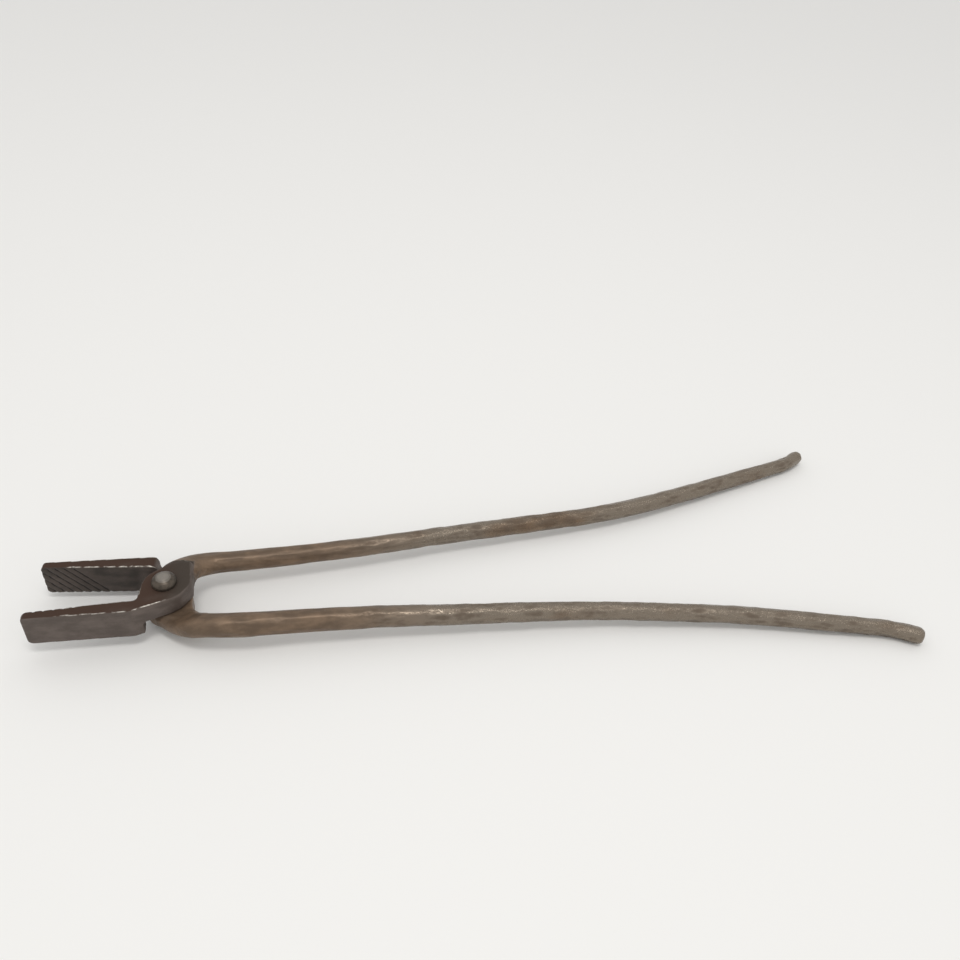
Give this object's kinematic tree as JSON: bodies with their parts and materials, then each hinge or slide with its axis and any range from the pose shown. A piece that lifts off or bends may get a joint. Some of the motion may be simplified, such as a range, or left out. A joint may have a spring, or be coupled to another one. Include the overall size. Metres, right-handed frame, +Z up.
{
  "type": "blacksmith tongs",
  "caption": "Forged flat-jaw tongs: two crossing halves with serrated plate jaws and long round reins, joined by one domed rivet.",
  "frame": {"origin": "on the rivet's axis, in the plane that the tongs lie on, at the flat end of the rivet's peened tail", "axes": "+X from the rivet to midway between the two rein ends, with the jaws along -X; +Z up along the rivet's axis, out of its domed head; +Y on the side of the upper half's rein"},
  "size_m": [0.6147, 0.2143, 0.0409],
  "materials": {
    "forged_steel": "hot-forged steel with dark scale, rust-brown tint and bright worn ridges",
    "rivet_steel": "dark scale, rubbed smooth on the dome"
  },
  "bodies": {
    "lower": {"lower_half": "forged_steel", "rivet": "rivet_steel"},
    "upper": {"upper_half": "forged_steel"}
  },
  "joints": [
    {"name": "rivet_pivot", "type": "hinge", "parent": "lower", "child": "upper", "pos_m": [0, 0, 0.0198], "axis": [0, 0, 1], "range_deg": [-15, 19]}
  ]
}
